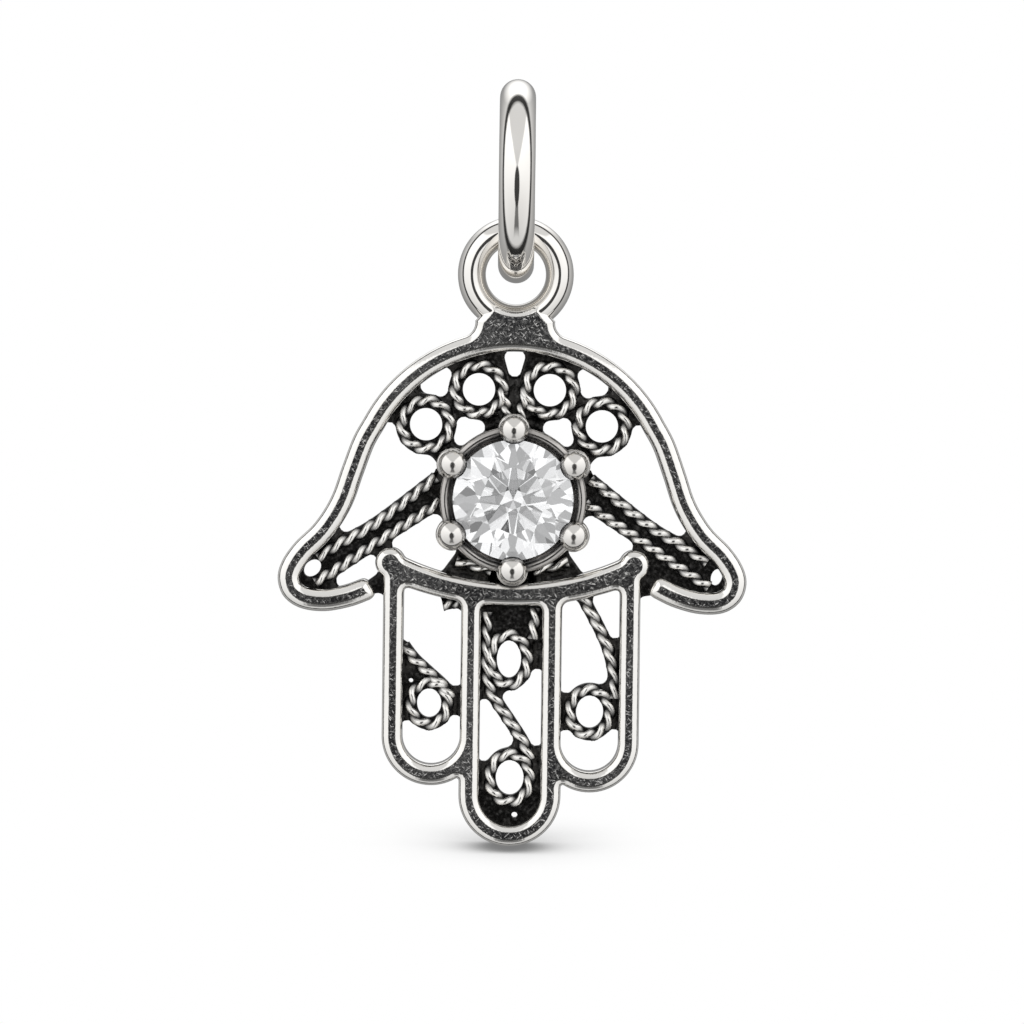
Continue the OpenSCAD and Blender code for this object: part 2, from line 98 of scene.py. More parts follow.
def shifted(line, distance):  # to the left of the line's run
    moved = []
    for i, place in enumerate(line):
        run = (Vector(line[min(i + 1, len(line) - 1)]) - Vector(line[max(i - 1, 0)])).normalized()
        moved.append((place[0] - distance * run.y, place[1] + distance * run.x))
    return moved


def ribbon(line, halfWidth):
    return shifted(line, halfWidth)[::-1] + shifted(line, -halfWidth)


def cutBack(line, distance):  # the line without its last stretch of that length
    left = list(line)
    while len(left) > 2 and (Vector(left[-1]) - Vector(left[-2])).length < distance:
        distance -= (Vector(left[-1]) - Vector(left[-2])).length
        left.pop()
    last = Vector(left[-1])
    inward = Vector(left[-2]) - last
    return left[:-1] + [tuple(last + inward * min(1, distance / inward.length))]


def chained(lines, radii):  # lines in a row, the corners between them softened
    whole = list(lines[0])
    for line, radius in zip(lines[1:], radii):
        corner = Vector(whole[-1])
        whole = cutBack(whole, radius)
        rest = cutBack(line[::-1], radius)[::-1]
        start, end = Vector(whole[-1]), Vector(rest[0])
        for t in (0.2, 0.4, 0.6, 0.8):
            whole.append(tuple(start.lerp(corner, t).lerp(corner.lerp(end, t), t)))
        whole += rest
    return whole


def spaced(line, gap=0.02):  # without points that lie on top of each other
    kept = []
    for place in line:
        if not kept or (Vector(place) - Vector(kept[-1])).length > gap:
            kept.append(place)
    return kept[:-1] if (Vector(kept[0]) - Vector(kept[-1])).length < gap else kept


def lengthOf(line):
    return sum((Vector(b) - Vector(a)).length for a, b in zip(line, line[1:]))


# Handling of pieces
def nothingSelected():
    if bpy.context.mode != "OBJECT":
        bpy.ops.object.mode_set(mode="OBJECT")
    bpy.ops.object.select_all(action="DESELECT")


def pick(*pieces):
    nothingSelected()
    for piece in pieces:
        piece.select_set(True)
    bpy.context.view_layer.objects.active = pieces[0]
    return pieces[0]


def editAll(piece):
    pick(piece)
    bpy.ops.object.mode_set(mode="EDIT")
    bpy.ops.mesh.select_all(action="SELECT")


def weld(piece, gap=1e-4):
    editAll(piece)
    bpy.ops.mesh.remove_doubles(threshold=gap)
    bpy.ops.mesh.normals_make_consistent(inside=False)
    bpy.ops.object.mode_set(mode="OBJECT")
    return piece


def modify(piece, kind, **settings):
    pick(piece)
    bpy.ops.object.modifier_add(type=kind)
    modifier = piece.modifiers[-1]
    for name, value in settings.items():
        setattr(modifier, name, value)
    bpy.ops.object.modifier_apply(modifier=modifier.name)
    return piece


def copyOf(piece):
    pick(piece)
    bpy.ops.object.duplicate()
    return bpy.context.object


def joined(pieces, name):
    whole = pick(*pieces)
    if len(pieces) > 1:
        bpy.ops.object.join()
    whole.name = name
    whole.data.name = name
    return whole


def placeInMesh(piece):
    pick(piece)
    bpy.ops.object.transform_apply(location=True, rotation=True, scale=True)
    return piece


def drawn(lines, closed=True):
    bpy.ops.curve.primitive_bezier_curve_add(location=(0, 0, 0))
    curve = bpy.context.object
    curve.data.splines.clear()
    for line in lines:
        spline = curve.data.splines.new("POLY")
        spline.points.add(len(line) - 1)
        for point, place in zip(spline.points, line):
            point.co = (place[0], place[1], 0, 1)
        spline.use_cyclic_u = closed
    return curve


# A plate with rounded edges: its outer line runs anticlockwise, its holes clockwise
def castPlate(outer, holes, low, high, rounding, softness=4, inset=0):
    curve = drawn([spaced(line) for line in (outer, *holes)])
    curve.location = (0, 0, (low + high) / 2)
    sheet = curve.data
    sheet.dimensions = "2D"
    sheet.fill_mode = "BOTH"
    sheet.extrude = (high - low) / 2 - rounding
    sheet.bevel_depth = rounding
    sheet.bevel_resolution = softness
    sheet.offset = -rounding - inset
    pick(curve)
    bpy.ops.object.convert(target="MESH")
    return weld(placeInMesh(bpy.context.object))


def cutWith(piece, cutter):
    modify(piece, "BOOLEAN", operation="DIFFERENCE", object=cutter, solver="EXACT")
    bpy.data.objects.remove(cutter)
    return piece


# Finishes: one helper adds a node, and each finish is its own function
def newFinish(name, **sockets):
    finish = bpy.data.materials.new(name)
    finish.use_nodes = True
    for socket, value in sockets.items():
        shader(finish).inputs[socket.replace("_", " ")].default_value = value
    return finish


def shader(finish):
    return finish.node_tree.nodes["Principled BSDF"]


def plug(finish, value, socket):
    if isinstance(value, bpy.types.NodeSocket):
        finish.node_tree.links.new(value, socket)
    else:
        socket.default_value = value


def step(finish, kind, settings=None, **inputs):
    node = finish.node_tree.nodes.new("ShaderNode" + kind)
    for name, value in (settings or {}).items():
        setattr(node, name, value)
    for name, value in inputs.items():
        plug(finish, value, node.inputs[name.replace("_", " ")])
    return node


def math2(finish, operation, a, b):
    node = step(finish, "Math", {"operation": operation})
    plug(finish, a, node.inputs[0])
    plug(finish, b, node.inputs[1])
    return node.outputs[0]


def ranged(finish, value, low, high, toLow=0.0, toHigh=1.0):
    node = step(finish, "MapRange", Value=value, From_Min=low, From_Max=high, To_Min=toLow, To_Max=toHigh)
    return node.outputs["Result"]


def blended(finish, factor, dark, light):
    node = step(finish, "Mix", {"data_type": "RGBA"})
    plug(finish, factor, node.inputs[0])
    plug(finish, (*dark, 1), node.inputs[6])
    plug(finish, (*light, 1), node.inputs[7])
    return node.outputs[2]


def noise(finish, where, scale, detail, **more):
    return step(finish, "TexNoise", Vector=where, Scale=scale, Detail=detail, **more).outputs["Fac"]


def feed(finish, socket, value):
    finish.node_tree.links.new(value, shader(finish).inputs[socket])


def dented(finish, height, strength, depth):  # fine relief, its depth in metres
    bump = step(finish, "Bump", Strength=strength, Distance=depth, Height=height)
    feed(finish, "Normal", bump.outputs["Normal"])


def places(finish):
    return step(finish, "TexCoord").outputs["Object"]


silverTone = {"bright": (0.93, 0.915, 0.885), "oxide": (0.026, 0.026, 0.027)}
mostNoise = (0.3, 0.7)  # most values of a noise lie between these


def castSilver(name, tone, reach, blackBelow, brightAbove, roughness, rubbed=None):  # black in the hollows
    wear = {"patchScale": 2600, "patchWear": 0.08, "heightWear": 0.02, "blackRoughness": 0.5,
            "grainScale": 14000, "grainStrength": 0.35, "grainDepth": 0.000006}
    finish = newFinish(name, Metallic=1.0)
    where = places(finish)
    hollow = step(finish, "AmbientOcclusion", {"samples": 12}, Distance=reach).outputs["AO"]
    patches = noise(finish, where, wear["patchScale"], detail=3)
    uneven = ranged(finish, patches, *mostNoise, -wear["patchWear"], wear["patchWear"])
    worn = ranged(finish, math2(finish, "ADD", hollow, uneven), blackBelow, brightAbove)
    if rubbed:  # polished only from the first height in millimetres, and fully at the second
        depth = step(finish, "SeparateXYZ", Vector=where).outputs["Y"]
        uneven = ranged(finish, patches, *mostNoise, -wear["heightWear"], wear["heightWear"])
        height = math2(finish, "ADD", math2(finish, "MULTIPLY", depth, -1000.0), uneven)
        worn = math2(finish, "MULTIPLY", worn, ranged(finish, height, *rubbed))
    feed(finish, "Base Color", blended(finish, worn, silverTone["oxide"], tone))
    feed(finish, "Roughness", ranged(finish, worn, 0.0, 1.0, wear["blackRoughness"], roughness))
    grain = noise(finish, where, wear["grainScale"], detail=2)
    dented(finish, grain, wear["grainStrength"], wear["grainDepth"])
    return finish


def blackenedSilver():  # the sunk web
    black = {"dark": (0.028, 0.027, 0.026), "rubbed": (0.18, 0.175, 0.17), "rubbedAt": (0.52, 0.78),
             "mostRubbed": 0.5, "roughness": (0.2, 0.45), "grainScale": 9000, "fleckScale": 16000,
             "relief": (0.6, 0.00001)}
    finish = newFinish("blackenedSilver", Metallic=1.0)
    where = places(finish)
    grain = noise(finish, where, black["grainScale"], detail=4)
    flecks = step(finish, "TexVoronoi", Vector=where, Scale=black["fleckScale"]).outputs["Distance"]
    rubbed = ranged(finish, grain, *black["rubbedAt"], 0.0, black["mostRubbed"])
    feed(finish, "Base Color", blended(finish, rubbed, black["dark"], black["rubbed"]))
    feed(finish, "Roughness", ranged(finish, grain, *mostNoise, *black["roughness"]))
    dented(finish, math2(finish, "ADD", grain, math2(finish, "MULTIPLY", flecks, 0.5)), *black["relief"])
    return finish


def streaks(finish, where, turn, scale, low, high):  # short fine scratches in one direction
    turned = step(finish, "VectorRotate", {"rotation_type": "Y_AXIS"}, Vector=where, Angle=math.radians(turn))
    drawnOut = step(finish, "VectorMath", {"operation": "MULTIPLY"})
    plug(finish, turned.outputs[0], drawnOut.inputs[0])
    plug(finish, (4, 1, 1), drawnOut.inputs[1])
    return ranged(finish, noise(finish, drawnOut.outputs[0], scale, detail=2), low, high)


def grainedFlatWithPaintedReflection():  # the grained front faces with fine light scratches; their dark base colour is a painted reflection of the dark camera side
    flat = {"dark": (0.035, 0.035, 0.037), "light": (0.8, 0.79, 0.77), "roughness": (0.42, 0.26),
            "grainScale": 8500, "grainAt": (0.48, 0.7), "grainTone": 0.4,
            "rubScale": 420, "rubAt": (0.42, 0.7), "rubTone": 0.08,
            "scratchScale": 4200, "scratchAt": (0.62, 0.7), "scratchTurns": (35, -50, 80),
            "pitScale": 20000, "relief": (0.8, 0.000012)}
    finish = newFinish("grainedFlatWithPaintedReflection", Metallic=1.0)
    where = places(finish)
    grain = noise(finish, where, flat["grainScale"], detail=6, Roughness=0.7)
    pits = step(finish, "TexVoronoi", Vector=where, Scale=flat["pitScale"]).outputs["Distance"]
    scratches = [streaks(finish, where, turn, flat["scratchScale"], *flat["scratchAt"])
                 for turn in flat["scratchTurns"]]
    light = scratches[0]
    for more in scratches[1:]:
        light = math2(finish, "MAXIMUM", light, more)
    rub = noise(finish, where, flat["rubScale"], detail=2)
    tone = math2(finish, "ADD", ranged(finish, grain, *flat["grainAt"], 0.0, flat["grainTone"]),
                 ranged(finish, rub, *flat["rubAt"], 0.0, flat["rubTone"]))
    tone = math2(finish, "MAXIMUM", tone, light)
    # Painted reflection: the dark base colour stands in for the dark camera side mirrored in the flats; the
    # grain, pits and light scratches are wear
    feed(finish, "Base Color", blended(finish, tone, flat["dark"], flat["light"]))
    feed(finish, "Roughness", ranged(finish, grain, *mostNoise, *flat["roughness"]))
    relief = math2(finish, "ADD", math2(finish, "ADD", grain, light), math2(finish, "MULTIPLY", pits, 0.5))
    dented(finish, relief, *flat["relief"])
    return finish


def polishedSilver(name, roughness):  # mirror polish with fine wear
    polish = {"smearScale": 900, "smearTone": (0.90, 0.875, 0.84), "hairScale": 6000,
              "smoothest": 0.7, "roughest": 1.5, "relief": (0.2, 0.000004)}
    finish = newFinish(name, Metallic=1.0)
    where = places(finish)
    smear = noise(finish, where, polish["smearScale"], detail=3)
    hairs = noise(finish, where, polish["hairScale"], detail=5)
    tint = ranged(finish, smear, *mostNoise)
    feed(finish, "Base Color", blended(finish, tint, polish["smearTone"], silverTone["bright"]))
    feed(finish, "Roughness", ranged(finish, hairs, *mostNoise, roughness * polish["smoothest"],
                                     roughness * polish["roughest"]))
    dented(finish, hairs, *polish["relief"])
    return finish


def clearStone():
    glass = {"tone": (0.985, 0.99, 1.0, 1), "bending": 2.3, "dustScale": 4000, "dustAt": (0.5, 0.8),
             "haze": 0.04}
    finish = newFinish("clearStone", Base_Color=glass["tone"], IOR=glass["bending"], Transmission_Weight=1.0)
    dust = noise(finish, places(finish), glass["dustScale"], detail=4)
    feed(finish, "Roughness", ranged(finish, dust, *glass["dustAt"], 0.0, glass["haze"]))
    return finish


def whiteFloorPaintedShadow():  # the white floor, evenly glowing, with a painted shadow only close under what nearly touches it
    shade = {"reach": 0.0045, "darkBelow": 0.1, "whiteAbove": 0.9, "dark": 0.2}
    finish = newFinish("whiteFloorPaintedShadow", Base_Color=(0, 0, 0, 1), Roughness=1.0, Emission_Strength=1.0,
                       Specular_IOR_Level=0.0)
    # Painted shadow: an occlusion node darkens the floor's glow under what nearly touches it; no light casts
    # it
    near = step(finish, "AmbientOcclusion", {"samples": 24}, Distance=shade["reach"]).outputs["AO"]
    paintedShadow = step(finish, "MapRange", {"interpolation_type": "SMOOTHSTEP"}, Value=near, To_Max=1.0,
                From_Min=shade["darkBelow"], From_Max=shade["whiteAbove"], To_Min=shade["dark"])
    feed(finish, "Emission Color", paintedShadow.outputs["Result"])
    return finish


# Name, tone, reach of the hollows in metres, black below, bright above, roughness, heights polished
ropeSilver = castSilver("ropeSilver", silverTone["bright"], 0.00032, 0.3, 0.78, 0.12, (0.165, 0.285))
edgeSilver = castSilver("edgeSilver", silverTone["bright"], 0.0003, 0.28, 0.6, 0.1)
clawSilver = castSilver("clawSilver", (0.82, 0.8, 0.77), 0.0005, 0.52, 0.9, 0.13)
galleryGrey = castSilver("galleryGrey", (0.52, 0.5, 0.48), 0.0005, 0.45, 0.85, 0.13)
blackened = blackenedSilver()
flatWithPaintedReflection = grainedFlatWithPaintedReflection()
ringPolish = polishedSilver("ringPolish", 0.05)
clear = clearStone()
print("finishes are ready")


# The last step of each piece: it is stood up, scaled to metres and told what it rides on
def finished(piece, name, body, stoodFor, finishes, smoothAngle=35):
    joined([piece], name)
    piece.rotation_euler = (math.radians(90), 0, 0)
    piece.scale = (0.001, 0.001, 0.001)
    placeInMesh(piece)
    bpy.ops.object.shade_smooth_by_angle(angle=math.radians(smoothAngle))
    for finish in finishes[len(piece.data.materials):]:
        piece.data.materials.append(finish)
    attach(piece, body)
    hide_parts(stoodFor)
    return piece


def paintedReflectionFront(piece):  # grained on its flat front, with a painted dark reflection there, and polished elsewhere
    front = {"level": 0.99, "skin": 0.02}
    for finish in (edgeSilver, flatWithPaintedReflection):
        piece.data.materials.append(finish)
    for face in piece.data.polygons:
        onFront = face.normal.z > front["level"] and face.center.z > castFront - front["skin"]
        face.material_index = 1 if onFront else 0


# Jump ring
def makeJumpRing():
    ring = {"along": 160, "around": 48, "waviness": 0.01, "waveSize": 1.6}
    bpy.ops.mesh.primitive_torus_add(major_radius=ringMidR, minor_radius=wireR, major_segments=ring["along"],
                                     minor_segments=ring["around"], location=(0, ringMidY, 0),
                                     rotation=(0, math.radians(90), 0))
    piece = placeInMesh(bpy.context.object)
    waves = bpy.data.textures.new("handFiled", "CLOUDS")
    waves.noise_scale = ring["waveSize"]
    modify(piece, "DISPLACE", texture=waves, strength=ring["waviness"], mid_level=0.5)
    return finished(piece, "jump_ring_wire", "ring", "jump_ring", [ringPolish])


makeJumpRing()
print("jump ring is made")


# Top loop: a ring with a domed front and back
def makeTopLoop():
    ring = {"along": 144, "around": 40, "waveSize": 1.1, "halfDepth": 0.69}
    halfWall = loop["wall"] / 2
    bpy.ops.mesh.primitive_torus_add(major_radius=loop["holeR"] + halfWall, minor_radius=halfWall,
                                     major_segments=ring["along"], minor_segments=ring["around"],
                                     location=(*loopMid, 0))
    piece = bpy.context.object
    editAll(piece)
    bpy.ops.transform.resize(value=(1, 1, ring["halfDepth"] / halfWall))
    bpy.ops.object.mode_set(mode="OBJECT")
    placeInMesh(piece)
    waves = bpy.data.textures.new("castWaves", "CLOUDS")
    waves.noise_scale = ring["waveSize"]
    modify(piece, "DISPLACE", texture=waves, strength=loop["waviness"], mid_level=0.5)
    return finished(piece, "top_loop", "hand", "hand", [ringPolish])


makeTopLoop()


# Palm rim and neck, one casting from thumb to thumb
palm = {
    "height": 9.45, "crownShareX": 0.724, "crownEnd": 62, "rimW": 0.74, "edgeR": 0.28, "endR": 0.29,
    "rightLift": 0.018, "liftFrom": 8, "liftOver": 3, "throatR": 1.15, "throatTo": -48, "throatCut": 0.3,
    "shoulder": -50, "shoulderR": 1.62, "shoulderCut": 0.18, "neckFrom": 35, "neckGap": 0.05,
    "flank": [(0.685, 0.387), (0.732, 0.493), (0.777, 0.599), (0.844, 0.689), (0.927, 0.758), (0.982, 0.824),
              (1, 0.886), (0.974, 0.949), (0.904, 0.989), (0.801, 1), (0.692, 0.984), (0.605, 0.957),
              (0.574, 0.943)],
}
crownMid = stoneMid
crownRx = palm["crownShareX"] * palmHalfW
crownRy = crownY - crownMid[1]


def palmPlace(share):
    return (share[0] * palmHalfW, crownY - share[1] * palm["height"])


def palmSide(lift):  # the right half; lift raises the thumb's end
    flank = [(x, y - lift * min(max(i - palm["liftFrom"], 0) / palm["liftOver"], 1))
             for i, (x, y) in enumerate(palm["flank"])]
    crown = [(crownMid[0] + x, crownMid[1] + y) for x, y in
             [(crownRx * math.sin(math.radians(a)), crownRy * math.cos(math.radians(a)))
              for a in range(0, palm["crownEnd"] + 1, 2)]]
    outer = crown[:-1] + smoothLine([crown[-1]] + [palmPlace(q) for q in flank], steps=6)
    inner = [(0, outer[0][1] - palm["rimW"])] + shifted(outer, -palm["rimW"])[1:]
    reach = loopOutR + loop["neckR"]
    crownReach = crownRy + loop["neckR"]
    drop = loopMid[1] - crownMid[1]
    hollowY = loopMid[1] - (reach ** 2 - crownReach ** 2 + drop ** 2) / (2 * drop)
    hollow = (math.sqrt(reach ** 2 - (loopMid[1] - hollowY) ** 2), hollowY)
    fromLoop = math.degrees(math.atan2(loopMid[1] - hollow[1], -hollow[0]))
    fromCrown = 360 + math.degrees(math.atan2(crownMid[1] - hollow[1], -hollow[0]))
    fillet = arc(hollow, loop["neckR"], fromLoop + palm["neckFrom"], fromCrown, 12)
    rimSide = [p for p in outer if p[0] > fillet[-1][0] + palm["neckGap"] or p[1] < crownMid[1]]
    throat = arc(loopMid, palm["throatR"], 270, 360 + palm["throatTo"], 12)
    shoulder = arc(loopMid, palm["shoulderR"], 360 + palm["shoulder"], 360 + palm["shoulder"], 1)[0]
    return chained([throat, [throat[-1], shoulder], [shoulder] + fillet + rimSide, [rimSide[-1], inner[-1]],
                     inner[::-1]], [palm["throatCut"], palm["shoulderCut"], palm["endR"], palm["endR"]])


def palmOutline():
    return (palmSide(palm["rightLift"]) + mirrored(palmSide(0)))[::-1]


def makePalmRim():
    piece = castPlate(palmOutline(), [], castBack, castFront, palm["edgeR"])
    paintedReflectionFront(piece)
    return finished(piece, "palm_rim", "hand", "hand", [])


makePalmRim()
print("loop, neck and palm rim are made")

# Crossbar with its knobs and the three finger frames, one casting with three windows
fingers = {"pitch": 2.64, "barW": 0.68, "windowR": (0.96, 1.02, 0.96), "drop": (15.2, 17.2, 15.38),
           "cornerR": 0.26, "notchR": 0.16, "edgeR": 0.24}
crossbar = {"w": 0.78, "endW": 1.0, "drop": 8.42, "sagR": 8.6,
            "knobR": 0.5, "knobOut": 0.28, "knobSunk": 0.1, "knobSoft": 0.1}
crossY = crownY - crossbar["drop"]
fingerSide = fingers["pitch"] + fingers["windowR"][0] + fingers["barW"]
knobX = fingerSide - crossbar["knobR"] + crossbar["knobOut"]


def crossTop(x):
    return crossY + crossbar["sagR"] - math.sqrt(crossbar["sagR"] ** 2 - x ** 2)


lowRise = crossTop(knobX) - crossY - crossbar["endW"] + crossbar["w"]
lowSagR = (knobX ** 2 + lowRise ** 2) / (2 * lowRise)


def crossLow(x):
    return crossY - crossbar["w"] + lowSagR - math.sqrt(lowSagR ** 2 - x ** 2)


def fingerX(k):
    return (k - 1) * fingers["pitch"]


def tipMid(k):
    return (fingerX(k), crownY - fingers["drop"][k] + fingers["barW"] + fingers["windowR"][k])


def windowH(k):
    return crossLow(fingerX(k)) - tipMid(k)[1] + fingers["windowR"][k]


def inFinger(k, share):  # sideways shares of half the window, downward shares of its height
    return (fingerX(k) + share[0] * fingers["windowR"][k], crossLow(fingerX(k)) - share[1] * windowH(k))


def windowLine(k):  # clockwise from the middle of its top
    x, r = fingerX(k), fingers["windowR"][k]
    top = [(x - r + r * i / 10, crossLow(x - r + r * i / 10)) for i in range(21)]
    return chained([top[10:], [top[-1]] + arc(tipMid(k), r, 0, -180, 32) + [top[0]], top[:11]],
                   [fingers["cornerR"]] * 2)


def fingerOutline():
    outR = [r + fingers["barW"] for r in fingers["windowR"]]
    knobMid = (knobX, crossTop(knobX) - crossbar["knobR"] + crossbar["knobSunk"])
    knobStart = -math.degrees(math.acos((fingerSide - knobX) / crossbar["knobR"]))
    knob = [p for p in arc(knobMid, crossbar["knobR"], knobStart, 180, 48)
            if p[0] > knobX or p[1] > crossTop(p[0])]
    topHalf = [(knob[-1][0] * (1 - i / 24), crossTop(knob[-1][0] * (1 - i / 24))) for i in range(25)]
    notchAt = [math.degrees(math.acos((fingers["pitch"] - outR[1]) / r)) for r in outR]
    leftTip = arc(tipMid(0), outR[0], 180, 360 - notchAt[0], 28)
    rightTip = arc(tipMid(2), outR[2], 180 + notchAt[2], 360, 28)
    middleTip = [leftTip[-1]] + arc(tipMid(1), outR[1], 180, 360, 40) + [rightTip[0]]
    knobOnLeft = mirrored(knob)
    byKnob = [crossbar["knobSoft"]] * 2
    return chained([mirrored(topHalf), knobOnLeft, [knobOnLeft[-1]] + leftTip, middleTip,
                    rightTip + [knob[0]], knob, topHalf],
                   byKnob + [fingers["notchR"]] * 2 + byKnob)


def makeFingerFrames():
    windows = [windowLine(k) for k in range(3)]
    piece = castPlate(fingerOutline(), windows, castBack, castFront, fingers["edgeR"])
    paintedReflectionFront(piece)
    return finished(piece, "finger_frames", "hand", "hand", [])


makeFingerFrames()
print("crossbar and finger frames are made")

# Twisted wire: two strands wound left-handed, drawn out straight and bent along its line
wire = {"strandR": 0.14, "strandOff": 0.085, "turn": 1.04, "sides": 12, "stepsPerTurn": 16, "top": 0.32,
        "joinGap": 2e-3, "weldGap": 1e-4}
ropeR = wire["strandR"] + wire["strandOff"]


def twistedWire(line, closed=False):
    whole = line + [line[0]] if closed else line
    length = lengthOf(whole)
    halfTurns = max(2, round(2 * length / wire["turn"]))
    strands = []
    for side in (-1, 1):
        bpy.ops.mesh.primitive_circle_add(vertices=wire["sides"], radius=wire["strandR"],
                                          location=(0, side * wire["strandOff"], 0),
                                          rotation=(0, math.radians(90), 0))
        strands.append(bpy.context.object)
    piece = placeInMesh(joined(strands, "strands"))
    modify(piece, "SCREW", axis="X", angle=-math.pi * halfTurns, screw_offset=length, iterations=1,
           steps=halfTurns * wire["stepsPerTurn"] // 2, use_smooth_shade=False)
    if not closed:
        editAll(piece)
        bpy.ops.mesh.fill_holes(sides=wire["sides"])
        bpy.ops.object.mode_set(mode="OBJECT")
    path = drawn([line], closed)
    path.data.dimensions = "3D"
    path.data.twist_mode = "Z_UP"
    path.data.use_stretch = True
    path.data.use_deform_bounds = True
    modify(piece, "CURVE", object=path, deform_axis="POS_X")
    bpy.data.objects.remove(path)
    piece.location.z = wire["top"] - ropeR
    weld(placeInMesh(piece), wire["joinGap"] if closed else wire["weldGap"])
    return piece


# Places are shares: of the palm for struts, of the claws' radius for the seat, of each window for scrolls
palmRings = {"r": 0.81, "angles": (18, 50), "fromRim": 0.27,
             "tail": [(-1, -0.15), (-1.12, -0.65), (-1.2, -1.2)]}
struts = {
    "upper": [(0.33, 0.525), (0.517, 0.647), (0.623, 0.709), (0.729, 0.757), (0.832, 0.812)],
    "lower": [(0.31, 0.61), (0.44, 0.68), (0.58, 0.756), (0.71, 0.829), (0.84, 0.9)],
}
setting = {"clawAt": stoneR + 0.33, "claws": 6, "ballR": 0.48, "crownH": 0.41, "ballLift": 1.25,
           "stemR": 0.54, "stemDrop": 0.32, "neckR": 0.3, "collar": 0.12,
           "wireR": 0.17, "wireAt": stoneR + 0.27, "wireLift": 0.894,
           "baseIn": 1.7, "baseOut": 2.45, "baseLow": -0.32, "baseHigh": 0.33, "baseRound": 0.08,
           "wellR": 1.8}
seatWire = [(0.8, -0.88), (0.3, -1.02)]
seatWeb = [(0.75, -0.69), (0.99, -1.02)]
scrolls = {
    "left": [(-0.98, 0.3), (-0.62, 0.38), (0.0, 0.475), (0.45, 0.545), (0.68, 0.61)],
    "leftStub": [(1.1, 0.03), (0.35, 0.058)],
    "middle": [(-0.8, 0.03), (-0.82, 0.12), (-0.84, 0.2), (-0.82, 0.3), (-0.62, 0.4), (0.0, 0.53),
               (0.42, 0.62), (0.66, 0.7)],
    "middleStub": [(0.78, 0.01), (0.76, 0.05), (0.73, 0.1), (0.69, 0.15)],
    "right": [(-0.42, -0.03), (-0.1, 0.06), (0.36, 0.2), (0.66, 0.32), (0.84, 0.46), (0.82, 0.58)],
}
# Finger, shares of its middle, half width and half height of each ring
fingerRings = [(0, (-0.08, 0.64), 0.62, 0.7), (1, (-0.07, 0.245), 0.62, 0.84), (1, (0, 0.785), 0.68, 0.8),
               (2, (0, 0.66), 0.67, 0.76)]


def palmRingMid(k):
    a = math.radians(palmRings["angles"][k])
    inset = palm["rimW"] + palmRings["r"] + palmRings["fromRim"]
    return (crownMid[0] + (crownRx - inset) * math.sin(a), crownMid[1] + (crownRy - inset) * math.cos(a))


def bySetting(share):
    return (crownMid[0] + setting["clawAt"] * share[0], crownMid[1] + setting["clawAt"] * share[1])


def palmLines(side):  # the open twisted wires of one half of the palm
    mid = palmRingMid(0)
    tail = [(mid[0] + palmRings["r"] * x, mid[1] + palmRings["r"] * y) for x, y in palmRings["tail"]]
    lines = [smoothLine(tail), smoothLine([bySetting(q) for q in seatWire]),
             smoothLine([palmPlace(q) for q in struts["upper"]]),
             smoothLine([palmPlace(q) for q in struts["lower"]])]
    return [[(side * x, y) for x, y in line] for line in lines]


def fingerLines():
    ways = ((0, "left"), (0, "leftStub"), (1, "middle"), (1, "middleStub"), (2, "right"))
    return [smoothLine([inFinger(k, q) for q in scrolls[name]]) for k, name in ways]


def makePalmWires():
    wires = []
    for side in (-1, 1):
        for k in (0, 1):
            mid = palmRingMid(k)
            wires.append(twistedWire(disc((side * mid[0], mid[1]), palmRings["r"], steps=64), closed=True))
        wires += [twistedWire(line) for line in palmLines(side)]
    piece = joined(wires, "palm_wires")
    return finished(piece, "palm_wires", "hand", "hand", [ropeSilver], smoothAngle=60)


def makeFingerWires():
    wires = [twistedWire(line) for line in fingerLines()]
    for k, mid, wide, tall in fingerRings:
        wires.append(twistedWire(disc(inFinger(k, mid), wide, tall, 64), closed=True))
    piece = joined(wires, "finger_wires")
    return finished(piece, "finger_wires", "hand", "hand", [ropeSilver], smoothAngle=60)


makePalmWires()
makeFingerWires()
print("twisted wires are made")

# The sunk, pierced web: plain shapes run together, their corners filled as in a casting
web = {
    "front": 0.08, "back": -0.42, "voxel": 0.068, "fillet": 0.14, "rounding": 0.05, "inBar": 0.07,
    "bandHalf": 0.21, "palmHoleIn": 0.27, "fingerHoleIn": 0.215,
    "footFrom": (0.3, 0.5), "footHalf": 0.42, "footClaw": 30, "topFrom": 0.72, "topTo": 0.95, "topHalf": 0.27,
    "thumbMid": (0.846, 0.868), "thumbR": 0.72,
    "thumbHoles": {-1: ((0.854, 0.85), 0.24, 0.33, -45), 1: ((0.874, 0.865), 0.19, 0.28, -15)},
    "rightFill": [(0.55, 0.795), (0.76, 0.905)], "rightFillR": 0.3, "bridgeR": 0.3, "bridgeAt": (0.2, 0.5),
    "crownFill": [(0.44, 0.6), (0.08, 1.86), (0.6, 2.2), (1.2, 1.9), (1.2, 0.7)],
    "leftFill": (-0.74, 0.5), "leftFillR": 0.33, "leftHole": (-0.72, 0.508), "leftHoleR": 0.075,
    "pinhole": (0.17, 0.955), "pinholeR": 0.1, "recess": 1.02, "tipRise": 0.25, "underBar": 0.1,
}
bandHalf = web["bandHalf"]


def webShape(outer, holes=(), inset=0):
    return castPlate(outer, holes, web["back"], web["front"], web["rounding"], softness=1, inset=inset)


def punch(mid, radius, tall=None, turn=0):
    bpy.ops.mesh.primitive_cylinder_add(vertices=48, radius=1, depth=4, location=(*mid, 0),
                                        rotation=(0, 0, math.radians(turn)))
    cutter = bpy.context.object
    cutter.scale = (radius, tall or radius, 1)
    return placeInMesh(cutter)


def runTogether(shapes, name, punches):
    piece = joined(shapes, name)
    modify(piece, "REMESH", mode="VOXEL", voxel_size=web["voxel"])
    modify(piece, "DISPLACE", strength=web["fillet"], mid_level=0)
    modify(piece, "REMESH", mode="VOXEL", voxel_size=web["voxel"])
    modify(piece, "DISPLACE", strength=-web["fillet"], mid_level=0)
    modify(piece, "SMOOTH", factor=0.5, iterations=4)
    cutWith(piece, joined(punches, "punches"))
    return piece


